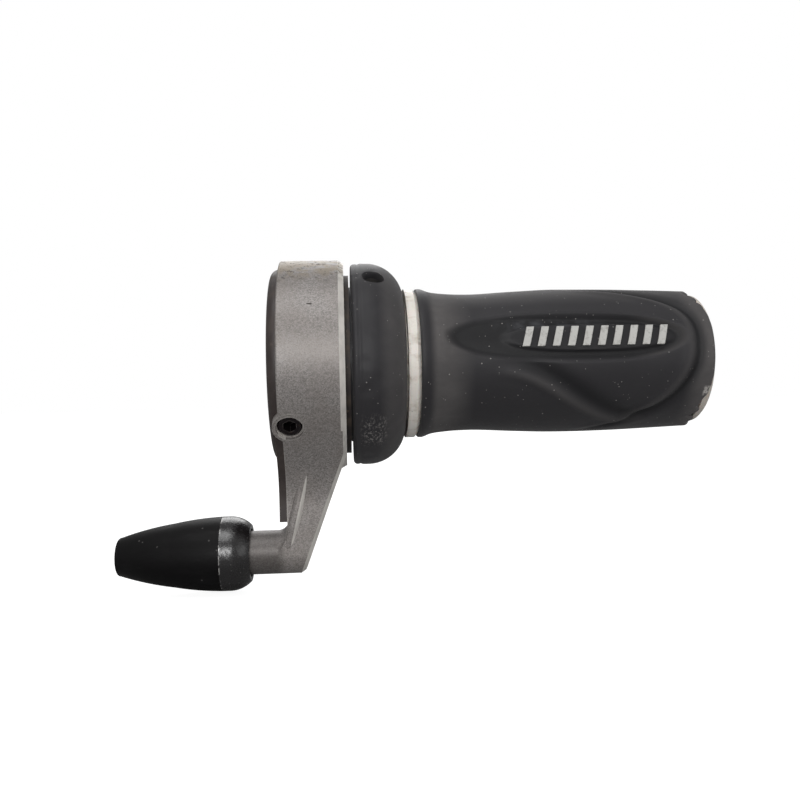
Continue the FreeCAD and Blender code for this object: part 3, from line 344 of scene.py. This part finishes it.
def make_grip():
    """The moulded rubber grip, with its leaf recess, thumb paddle and worn end."""
    grip = lathe("grip_skin", grip_rows, GRIP_COLUMNS)
    # These tones carry painted shade in the hollows and painted highlights along the ridges.
    record_tone(grip, "hollow_shade", hollow_shade_tone)
    record_tone(grip, "crest", crest_highlight_tone)
    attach(grip, "twist_grip")
    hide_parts("grip_sleeve")
    return grip


# ---------------------------------------------------------------- the collar

# Stations of the inboard rim, of the place where the straight part meets the dome, and of the lip.
COLLAR_START, COLLAR_FLAT, COLLAR_END = 16.62, 19.9, 27.48
# The straight part's radius, the dome's own radius in section, and the skin's thickness.
COLLAR_RADIUS, COLLAR_CURVE, COLLAR_SKIN = 21.58, 7.85, 1.5
# The radius of the rim's inside edge, the station where the skin's inside begins, and the rim's rounding.
RIM_INSIDE, RIM_DEPTH, RIM_ROUND = 17.25, 17.62, 0.8
COLLAR_COLUMNS = 300


def collar_radius(station, angle):
    """The collar's outer radius, with its moulded rim line and a few shallow dents from use."""
    past = max(station - COLLAR_FLAT, 0)
    dome = COLLAR_RADIUS - COLLAR_CURVE + math.sqrt(COLLAR_CURVE**2 - past**2)
    line = 0.16 * bell(station - 18.15, 0.28)
    step = 0.07 * (1 - smooth(17.9, 18.3, station))
    dents = max(0.0, noise.noise(on_ring(station, 21, angle) * 260) - 0.28) * 0.35
    return dome - line - step - dents


def collar_rows(turned):
    """The collar's outline at one angle: outside from the rim to the lip, and back along the inside."""
    angle = around(turned)
    rows = [(COLLAR_START, RIM_INSIDE)]
    for step in range(7):
        phase = math.radians(90 * step / 6)
        rim = collar_radius(COLLAR_START + RIM_ROUND, angle) - RIM_ROUND * (1 - math.sin(phase))
        rows.append((COLLAR_START + RIM_ROUND * (1 - math.cos(phase)), rim))
    for step in range(1, 64):
        phase = math.pi / 2 * step / 64
        reach = (COLLAR_END - COLLAR_START - RIM_ROUND) * math.sin(phase) ** 0.9
        station = COLLAR_START + RIM_ROUND + reach
        rows.append((station, collar_radius(station, angle)))
    rows.append((COLLAR_END, 15.62))
    rows.append((COLLAR_END, 15.05))
    inner_curve = COLLAR_CURVE - COLLAR_SKIN
    centre = COLLAR_RADIUS - COLLAR_CURVE
    for step in range(1, 13):
        phase = math.radians(78 * (1 - step / 12))
        rows.append((COLLAR_FLAT + inner_curve * math.sin(phase), centre + inner_curve * math.cos(phase)))
    rows.append((RIM_DEPTH, COLLAR_RADIUS - COLLAR_SKIN))
    rows.append((RIM_DEPTH, RIM_INSIDE))
    return rows


def make_collar():
    """The collar's rubber skin, with the hole for changing the cable."""
    collar = lathe("collar_skin", collar_rows, COLLAR_COLUMNS)
    drill(collar, station=21.3, angle=-53.0, radius=2.1, start=17.5, end=21.3)
    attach(collar, "twist_grip")
    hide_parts("collar_cover")
    return collar


# ---------------------------------------------------------------- materials


def paint(red, green, blue):
    """A screen colour from 0 to 255 as the linear colour that the shaders use."""
    linear = []
    for part in (red, green, blue):
        share = part / 255
        linear.append(share / 12.92 if share <= 0.04045 else ((share + 0.055) / 1.055) ** 2.4)
    return (*linear, 1.0)


class Look:
    """A material being put together. Most methods add nodes and return the socket that they end in."""

    def __init__(self, name, roughness=0.5, metallic=0.0):
        self.material = bpy.data.materials.new(name)
        self.material.use_nodes = True
        self.tree = self.material.node_tree
        self.shader = self.tree.nodes["Principled BSDF"]
        self.shader.inputs["Roughness"].default_value = roughness
        self.shader.inputs["Metallic"].default_value = metallic
        place = self.add("ShaderNodeTexCoord").outputs["Object"]
        scaled = self.add("ShaderNodeVectorMath", {0: place, "Scale": 1 / MM}, operation="SCALE")
        self.place = scaled.outputs[0]
        split = self.add("ShaderNodeSeparateXYZ", {0: self.place})
        self.x, self.y, self.z = split.outputs
        self.heights = []

    def add(self, kind, inputs=None, **settings):
        node = self.tree.nodes.new(kind)
        for key, value in settings.items():
            setattr(node, key, value)
        for key, value in (inputs or {}).items():
            if isinstance(value, bpy.types.NodeSocket):
                self.tree.links.new(value, node.inputs[key])
            else:
                node.inputs[key].default_value = value
        return node

    def calculate(self, operation, first, second=0.0):
        """Arithmetic on numbers or sockets."""
        return self.add("ShaderNodeMath", {0: first, 1: second}, operation=operation).outputs[0]

    def noise(self, size, detail=3.0, rough=0.55, stretch=(1, 1, 1), seed=0.0):
        """Soft noise from 0 to 1 with features about size mm across."""
        inputs = {"Vector": self.shifted(seed, stretch), "Scale": 1 / size}
        return self.add("ShaderNodeTexNoise", {**inputs, "Detail": detail, "Roughness": rough}).outputs[0]

    def shifted(self, seed, stretch=(1, 1, 1)):
        """The place, moved by an amount that seed sets, and stretched."""
        inputs = {0: self.place, "Scale": stretch, "Location": (seed, 2 * seed, 0)}
        return self.add("ShaderNodeMapping", inputs).outputs[0]

    def cells(self, size, seed=0.0):
        """Cells about size mm across: a value from 0 to 1 for each, and the distance to its middle."""
        node = self.add("ShaderNodeTexVoronoi", {"Vector": self.shifted(seed), "Scale": 1 / size})
        value = self.add("ShaderNodeSeparateColor", {0: node.outputs["Color"]}).outputs[0]
        return value, node.outputs["Distance"]

    def mask(self, value, low, high):
        """0 up to low and 1 from high, or the other way round if high is the smaller."""
        inputs = {"Value": value, "From Min": low, "From Max": high}
        return self.add("ShaderNodeMapRange", inputs, interpolation_type="SMOOTHSTEP").outputs[0]

    def band(self, value, low, high, soft):
        """1 between low and high, with soft sides."""
        rise = self.mask(value, low - soft, low + soft)
        fall = self.mask(value, high + soft, high - soft)
        return self.times(rise, fall)

    def times(self, *values):
        """The product of numbers and sockets."""
        result = values[0]
        for value in values[1:]:
            result = self.calculate("MULTIPLY", result, value)
        return result

    def most(self, *values):
        """The largest of numbers and sockets."""
        result = values[0]
        for value in values[1:]:
            result = self.calculate("MAXIMUM", result, value)
        return result

    def mix(self, factor, first, second):
        """first where factor is 0 and second where it is 1."""
        node = self.add("ShaderNodeMix", {0: factor, 6: first, 7: second}, data_type="RGBA")
        return node.outputs[2]

    def blend(self, factor, first, second):
        """The same for numbers."""
        return self.add("ShaderNodeMix", {0: factor, 2: first, 3: second}).outputs[0]

    def angle(self):
        """Degrees round the handlebar from the front, counted downwards."""
        turn = self.calculate("ARCTAN2", self.times(self.z, -1.0), self.times(self.y, -1.0))
        return self.times(turn, 180 / math.pi)

    def specks(self, size, share, seed=0.0):
        """Small round dots in about that share of the cells."""
        value, distance = self.cells(size, seed)
        return self.times(self.mask(distance, 0.3, 0.16), self.calculate("GREATER_THAN", value, 1 - share))

    def edges(self, radius):
        """1 along edges sharper than about radius mm."""
        bevel = self.add("ShaderNodeBevel", {"Radius": radius * MM}, samples=6).outputs[0]
        plain = self.add("ShaderNodeNewGeometry").outputs["Normal"]
        match = self.add("ShaderNodeVectorMath", {0: bevel, 1: plain}, operation="DOT_PRODUCT")
        return self.mask(match.outputs["Value"], 0.985, 0.85)

    def relief(self, height, depth):
        """Adds small relief: height runs from 0 to 1, and depth is in mm."""
        self.heights.append(self.times(height, depth))

    def done(self, color, roughness=None, more=None):
        """Sets the colour, the roughness, more inputs by name, and the relief. Returns the material."""
        self.set("Base Color", color)
        if roughness is not None:
            self.set("Roughness", roughness)
        for key, value in (more or {}).items():
            self.set(key, value)
        if self.heights:
            total = self.heights[0]
            for height in self.heights[1:]:
                total = self.calculate("ADD", total, height)
            bump = self.add("ShaderNodeBump", {"Strength": 1.0, "Distance": MM, "Height": total})
            self.set("Normal", bump.outputs[0])
        return self.material

    def set(self, key, value):
        """Sets or links one of the shader's inputs."""
        if isinstance(value, bpy.types.NodeSocket):
            self.tree.links.new(value, self.shader.inputs[key])
        else:
            self.shader.inputs[key].default_value = value


def silver_cast():
    """Silver metallic paint: sparkle, bare worn edges, a painted highlight on faces turned outboard, painted
    shade at the boss, and stains and chips at the top.
    """
    look = Look("silver_cast", metallic=0.35)
    flake, _ = look.cells(0.2)
    fine, _ = look.cells(0.1, seed=3.0)
    sparkle = look.calculate("ADD", look.times(flake, 0.65), look.times(fine, 0.35))
    color = look.mix(sparkle, paint(96, 92, 90), paint(168, 163, 160))
    cloud = look.mask(look.noise(9, 2), 0.35, 0.7)
    color = look.mix(look.times(cloud, 0.35), color, paint(126, 118, 112))
    normal = look.add("ShaderNodeNewGeometry").outputs["Normal"]
    outboard = look.add("ShaderNodeSeparateXYZ", {0: normal}).outputs[0]
    patchy = look.mask(look.noise(1.6, 4, stretch=(1, 1, 0.4)), 0.3, 0.55)
    # Faces turned outboard get a pale colour: partly bare worn metal, partly a painted highlight from the
    # light on that side.
    bevel = look.times(look.band(outboard, 0.32, 0.86, 0.06), look.blend(patchy, 0.7, 1.0))
    color = look.mix(look.most(bevel, look.times(look.edges(0.3), 0.6, patchy)), color, paint(214, 210, 204))
    # Painted shade darkens the barrel boss, which is inboard of the arm's foot.
    boss_shade = look.times(look.mask(look.x, 3.0, 0.0), look.mask(look.z, -20.0, -22.5))
    color = look.mix(look.times(boss_shade, 0.6), color, paint(58, 54, 52))
    # Stains and chips lie on the top and thin out towards the back.
    front = look.mask(look.y, 6.0, -5.0)
    high = look.times(look.mask(look.z, 15.0, 19.5), look.blend(front, 0.45, 1.0))
    stain = look.times(high, look.mask(look.noise(2.6, 4, seed=8.0), 0.4, 0.54))
    color = look.mix(look.times(stain, 0.75), color, paint(128, 114, 92))
    chips = look.mask(look.noise(1.1, 5, 0.7, seed=5.0), 0.575, 0.62)
    chips = look.times(chips, look.mask(look.z, 14.5, 18.5), look.blend(front, 0.25, 1.0))
    stray = look.mask(look.noise(1.5, 4, 0.65, seed=21.0), 0.735, 0.76)
    scratch = look.times(look.band(look.x, 8.0, 9.0, 0.15), look.band(look.z, 10.9, 11.15, 0.08))
    dark = look.most(chips, stray, look.times(scratch, look.mask(look.y, 0, -5)))
    color = look.mix(look.times(dark, 0.85), color, paint(52, 46, 42))
    look.relief(fine, 0.008)
    look.relief(look.noise(0.5, 3), 0.012)
    look.relief(look.calculate("SUBTRACT", 1.0, dark), 0.05)
    rough = look.blend(sparkle, 0.36, 0.52)
    return look.done(color, look.blend(dark, rough, 0.8))


def moulded(name, base, dusty, grain, roughness, dust, worn=None):
    """Moulded plastic: fine grain, soft patches of dust, specks, and lighter edges where worn is a colour."""
    look = Look(name)
    patches = look.mask(look.noise(4, 5, 0.6), 0.42, 0.72)
    color = look.mix(look.times(patches, dust), base, dusty)
    specks = look.most(look.specks(1.3, 0.14), look.specks(0.7, 0.05, 4.0))
    color = look.mix(look.times(specks, dust), color, dusty)
    if worn:
        broken = look.mask(look.noise(1.2, 4, seed=6.0), 0.4, 0.6)
        color = look.mix(look.times(look.edges(0.25), broken, 0.8), color, worn)
    look.relief(look.noise(0.22, 2), grain)
    look.relief(look.noise(2.5, 3), grain)
    return look.done(color, look.blend(patches, roughness, roughness + 0.2))


def rubber(name):
    """Matt black rubber, dusty where hands don't rub it clean, with painted shade in its hollows, painted
    highlights along its ridges, a top painted lighter as dust and sheen, and specks, scuffs and a fine grain.
    """
    look = Look(name)
    angle = look.angle()
    clean, dusty = paint(39, 38, 41), paint(98, 95, 94)
    patches = look.mask(look.noise(7, 4, 0.6, stretch=(0.6, 1, 1)), 0.3, 0.8)
    hollow_shade = look.add("ShaderNodeAttribute", attribute_name="hollow_shade").outputs["Fac"]
    # crest marks the ridges, which get a painted highlight in the dusty colour.
    crest = look.add("ShaderNodeAttribute", attribute_name="crest").outputs["Fac"]
    neck = look.times(look.mask(look.x, 31.8, 34.0), look.mask(look.x, 43.0, 35.0), 0.7)
    end = look.times(look.mask(look.x, 84.0, 89.0), 0.7)
    shoulder = look.times(look.band(look.x, 22.6, 28.2, 1.8), 0.42)
    # The top of the grip is painted lighter, partly dust and partly a painted sheen from the light above.
    above = look.times(look.band(angle, -110, -52, 14), look.mask(look.x, 30, 36), 0.32)
    dust = look.most(neck, end, shoulder, above, 0.06)
    dust = look.times(dust, look.blend(patches, 0.7, 1.15), look.blend(hollow_shade, 1.0, 0.1))
    # Painted highlight: from here dust also holds the lighter ridges.
    dust = look.most(dust, look.times(crest, 0.42))
    color = look.mix(dust, clean, dusty)
    # Painted shade: the hollows are darkened towards near black.
    color = look.mix(look.times(hollow_shade, 0.8), color, paint(12, 12, 14))
    smear = look.times(look.band(look.x, 48, 66, 4), look.band(angle, -33, -24, 3))
    smear = look.times(smear, look.mask(look.noise(3, 3, seed=2.0), 0.4, 0.7))
    color = look.mix(look.times(smear, 0.3), color, paint(92, 94, 99))
    chafe = look.times(look.band(look.x, 18.6, 22.8, 1.3), look.band(angle, 33, 50, 6))
    crumbs = look.noise(0.55, 4, 0.7, stretch=(1.2, 1, 0.5), seed=9.0)
    chafe = look.times(chafe, look.mask(crumbs, 0.49, 0.66))
    scuff = look.times(look.band(look.x, 89.2, 90.7, 0.3), look.band(angle, 26, 34, 1.6))
    scuff = look.times(scuff, look.mask(look.noise(0.9, 4, 0.7, seed=1.0), 0.42, 0.6))
    specks = look.most(look.specks(0.6, 0.008), look.specks(0.45, 0.012, 7.0), look.specks(0.35, 0.012, 12.0))
    marks = look.most(look.times(specks, 0.55), look.times(chafe, 0.5), look.times(scuff, 0.9))
    color = look.mix(marks, color, paint(176, 172, 168))
    look.relief(look.noise(0.16, 2), 0.012)
    look.relief(look.noise(0.9, 3), 0.012)
    look.relief(chafe, 0.03)
    rough = look.blend(look.mask(dust, 0.0, 0.5), 0.5, 0.72)
    return look.done(color, rough, {"Sheen Weight": 0.05, "Sheen Roughness": 0.5, "Specular IOR Level": 0.28})


def white_nylon():
    """Off-white nylon with brown grime near its edges, a duller worn end and small dark specks."""
    look = Look("white_nylon")
    grime = look.mask(look.noise(1.8, 5, 0.65, stretch=(0.5, 1, 1)), 0.47, 0.72)
    sides = look.most(look.band(look.x, 27.4, 28.2, 0.35), look.band(look.x, 30.0, 30.8, 0.3))
    color = look.mix(look.times(grime, 0.5), paint(226, 221, 213), paint(170, 154, 136))
    color = look.mix(look.times(sides, look.blend(grime, 0.25, 0.8)), color, paint(150, 136, 122))
    worn_end = look.times(look.mask(look.x, 88.5, 89.8), 0.65)
    color = look.mix(worn_end, color, paint(168, 158, 148))
    specks = look.specks(1.1, 0.06)
    color = look.mix(look.times(specks, 0.7), color, paint(96, 76, 62))
    look.relief(look.noise(0.7, 4), 0.02)
    return look.done(color, look.blend(grime, 0.38, 0.6), {"Subsurface Weight": 0.08, "Subsurface Scale": MM})


def metal(name, light, dark, roughness, rings=0.0, pitch=1.0):
    """Bare metal, tarnished in patches, with fine turning marks, and rings of a given depth and pitch."""
    look = Look(name, metallic=1.0)
    tarnish = look.mask(look.noise(1.8, 4, 0.6), 0.4, 0.75)
    color = look.mix(look.times(tarnish, 0.6), light, dark)
    fine = look.noise(0.12, 2, stretch=(1, 0.15, 0.15))
    look.relief(fine, 0.006)
    if rings:
        wave = look.calculate("PINGPONG", look.times(look.x, 1 / pitch), 0.5)
        look.relief(look.times(wave, 2.0), rings)
    return look.done(color, look.blend(tarnish, roughness, roughness + 0.25))


def wire():
    """Twisted steel wire: strands wind round the cable, as slanted ripples, with painted shade in the grooves
    between them.
    """
    look = Look("wire_steel", metallic=1.0)
    slant = look.calculate("ADD", look.calculate("ADD", look.x, look.y), look.z)
    strand_ripple_and_shade = look.calculate("PINGPONG", look.times(slant, 1.6), 0.5)
    # Painted shade: the grooves between strands are darker, their crowns lighter.
    color = look.mix(strand_ripple_and_shade, paint(92, 90, 86), paint(200, 197, 190))
    look.relief(strand_ripple_and_shade, 0.12)
    return look.done(color, 0.34)


def black_screw():
    """Black oxide steel, rubbed bright along the edges of its socket, with a little rust."""
    look = Look("screw_steel", metallic=0.7)
    rub = look.times(look.edges(0.2), look.mask(look.noise(0.8, 4), 0.35, 0.6))
    color = look.mix(look.times(rub, 0.8), paint(34, 28, 30), paint(168, 160, 156))
    rust = look.mask(look.noise(0.7, 4, seed=3.0), 0.6, 0.7)
    color = look.mix(look.times(rust, 0.4), color, paint(74, 54, 44))
    look.relief(look.noise(0.2, 3), 0.01)
    return look.done(color, look.blend(rub, 0.42, 0.25))


def matt_barrel():
    """Matt black plastic with faint lengthwise rubbing and a little dust."""
    look = Look("barrel_black")
    rubbed = look.mask(look.noise(2.2, 4, 0.6, stretch=(0.25, 1, 1)), 0.45, 0.75)
    color = look.mix(look.times(rubbed, 0.35), paint(9, 8, 9), paint(26, 25, 26))
    specks = look.specks(0.8, 0.03)
    color = look.mix(look.times(specks, 0.35), color, paint(120, 118, 116))
    look.relief(look.noise(0.25, 3), 0.012)
    return look.done(color, look.blend(rubbed, 0.5, 0.4), {"Specular IOR Level": 0.14})


def glossy_barrel():
    """Glossy black plastic, finely pitted so that its highlight breaks into specks, with light specks painted
    in as glints.
    """
    look = Look("barrel_gloss")
    pits = look.mask(look.noise(0.5, 3, 0.6), 0.35, 0.7)
    # The light specks are painted glints in the highlight.
    color = look.mix(look.times(look.specks(0.6, 0.12), 0.3), paint(20, 18, 19), paint(110, 108, 107))
    # The pale line where the glossy band meets the cone.
    seam = look.band(look.x, -11.0, -10.7, 0.08)
    broken = look.mask(look.noise(0.9, 4, seed=2.0), 0.42, 0.6)
    color = look.mix(look.times(seam, broken), color, paint(150, 148, 146))
    look.relief(pits, 0.014)
    return look.done(color, look.blend(pits, 0.2, 0.3), {"Specular IOR Level": 0.8})


def marks():
    """Light grey moulded marks, a little rubbed and dirty."""
    look = Look("mark_grey")
    dirt = look.mask(look.noise(0.9, 4, 0.65), 0.5, 0.72)
    color = look.mix(look.times(dirt, 0.55), paint(186, 185, 181), paint(110, 106, 102))
    look.relief(look.noise(0.3, 3), 0.02)
    return look.done(color, 0.55)


def floor_look():
    """A plain pale floor with a very faint mottle, clear from below. A glow to the camera keeps it pale."""
    look = Look("pale_floor", roughness=0.9)
    color = look.mix(look.noise(60, 2), paint(150, 150, 150), paint(156, 156, 156))
    seen = look.add("ShaderNodeLightPath").outputs["Is Camera Ray"]
    look.set("Emission Color", (1.0, 1.0, 1.0, 1.0))
    look.set("Emission Strength", look.times(seen, 0.9))
    clear = look.add("ShaderNodeBsdfTransparent").outputs[0]
    below = look.add("ShaderNodeNewGeometry").outputs["Backfacing"]
    surface = look.add("ShaderNodeMixShader", {0: below, 1: look.shader.outputs[0], 2: clear}).outputs[0]
    look.tree.links.new(surface, look.tree.nodes["Material Output"].inputs["Surface"])
    return look.done(color)


LOOKS = {
    "silver_cast": silver_cast(),
    "black_plastic": moulded(
        "black_plastic", paint(50, 42, 40), paint(88, 78, 72), 0.01, 0.5, 0.35, worn=paint(98, 88, 82)
    ),
    "dark_nylon": moulded("dark_nylon", paint(50, 43, 41), paint(108, 96, 80), 0.02, 0.6, 0.55),
    "white_nylon": white_nylon(),
    "washer_plastic": moulded("washer_plastic", paint(214, 213, 208), paint(178, 168, 154), 0.005, 0.4, 0.3),
    "drum_plastic": moulded("drum_plastic", paint(70, 70, 73), paint(110, 106, 100), 0.01, 0.45, 0.3),
    "core_plastic": moulded("core_plastic", paint(40, 40, 41), paint(90, 86, 82), 0.01, 0.5, 0.35),
    "grip_rubber": rubber("grip_rubber"),
    "mark_grey": marks(),
    "screw_steel": black_screw(),
    "bright_steel": metal("bright_steel", paint(190, 188, 184), paint(122, 116, 108), 0.3),
    "spring_steel": metal("spring_steel", paint(168, 166, 162), paint(104, 98, 92), 0.26),
    "wire_steel": wire(),
    "alloy_sleeve": metal("alloy_sleeve", paint(186, 187, 188), paint(128, 124, 120), 0.34, 0.02, 0.3),
    "brass_stem": metal("brass_stem", paint(200, 172, 108), paint(126, 98, 60), 0.3, 0.25, 0.8),
    "barrel_black": matt_barrel(),
    "barrel_gloss": glossy_barrel(),
    "guide_plastic": moulded("guide_plastic", paint(200, 200, 194), paint(160, 152, 140), 0.004, 0.22, 0.3),
}


# ---------------------------------------------------------------- the scene

LIT_POINT = Vector((0.02, 0, -0.005))


def dress_frame():
    """Gives every CAD node the finish of its slot in the record."""
    for row in frame["record"]["subparts"]:
        data = frame["nodes"][row["node"]].data
        data.materials.clear()
        data.materials.append(LOOKS[row["material_slot"]])


def add_floor(gap=0.0005, radius=6.0):
    """A wide pale floor, gap under the lowest point of the shifter."""
    low = CAD_BOX[0].z - gap
    mesh = bmesh.new()
    bmesh.ops.create_circle(mesh, cap_ends=True, segments=96, radius=radius)
    bmesh.ops.translate(mesh, verts=mesh.verts, vec=(0, 0, low))
    floor = finish_mesh("floor", mesh)
    floor.data.materials.append(floor_look())


def add_light(name, place, size, power):
    """A large soft light at place, facing the shifter."""
    data = bpy.data.lights.new(name, "AREA")
    data.shape = "DISK"
    data.size = size
    data.energy = power
    light = bpy.data.objects.new(name, data)
    light.location = place
    light.rotation_euler = (LIT_POINT - Vector(place)).to_track_quat("-Z", "Y").to_euler()
    bpy.context.scene.collection.objects.link(light)


def add_world():
    """A white surround: even to the camera, and as a light brighter from above than from below."""
    world = bpy.data.worlds.new("studio")
    world.use_nodes = True
    tree = world.node_tree
    background = tree.nodes["Background"]
    background.inputs["Color"].default_value = (1.0, 1.0, 1.0, 1.0)
    way = tree.nodes.new("ShaderNodeNewGeometry").outputs["Incoming"]
    height = tree.nodes.new("ShaderNodeSeparateXYZ")
    tree.links.new(way, height.inputs[0])
    shade = tree.nodes.new("ShaderNodeMapRange")
    for key, value in (("From Min", 0.5), ("From Max", -0.6), ("To Min", 0.16), ("To Max", 0.42)):
        shade.inputs[key].default_value = value
    tree.links.new(height.outputs[2], shade.inputs["Value"])
    seen = tree.nodes.new("ShaderNodeLightPath").outputs["Is Camera Ray"]
    level = tree.nodes.new("ShaderNodeMix")
    tree.links.new(shade.outputs[0], level.inputs[2])
    level.inputs[3].default_value = 1.0
    tree.links.new(seen, level.inputs[0])
    tree.links.new(level.outputs[0], background.inputs["Strength"])
    bpy.context.scene.world = world


def add_camera():
    """The camera in front of the shifter, a little inboard of its middle and turned slightly outboard."""
    data = bpy.data.cameras.new("camera")
    data.sensor_width = 36.0
    data.lens = 36.0
    data.clip_start = 0.01
    camera = bpy.data.objects.new("camera", data)
    place = Matrix.Translation((0.0151, -0.174, -0.0079))
    heading = Matrix.Rotation(math.radians(-3.9), 4, "Z")
    level = Matrix.Rotation(math.radians(90), 4, "X")
    roll = Matrix.Rotation(math.radians(-1.26), 4, "Z")
    camera.matrix_world = place @ heading @ level @ roll
    bpy.context.scene.collection.objects.link(camera)
    bpy.context.scene.camera = camera


for skin in (make_grip(), make_collar()):
    skin.data.materials.append(LOOKS["grip_rubber"])
dress_frame()
add_floor()
add_world()
add_light("key", (-0.04, -0.7, 0.16), 0.3, 2.0)
add_light("top", (-0.1, -0.3, 0.65), 0.45, 1.7)
add_light("fill", (0.6, -0.4, 0.1), 0.5, 0.5)
add_light("back", (0.0, 0.7, 0.5), 0.6, 2.4)
add_camera()
bpy.context.scene.view_settings.view_transform = "Standard"
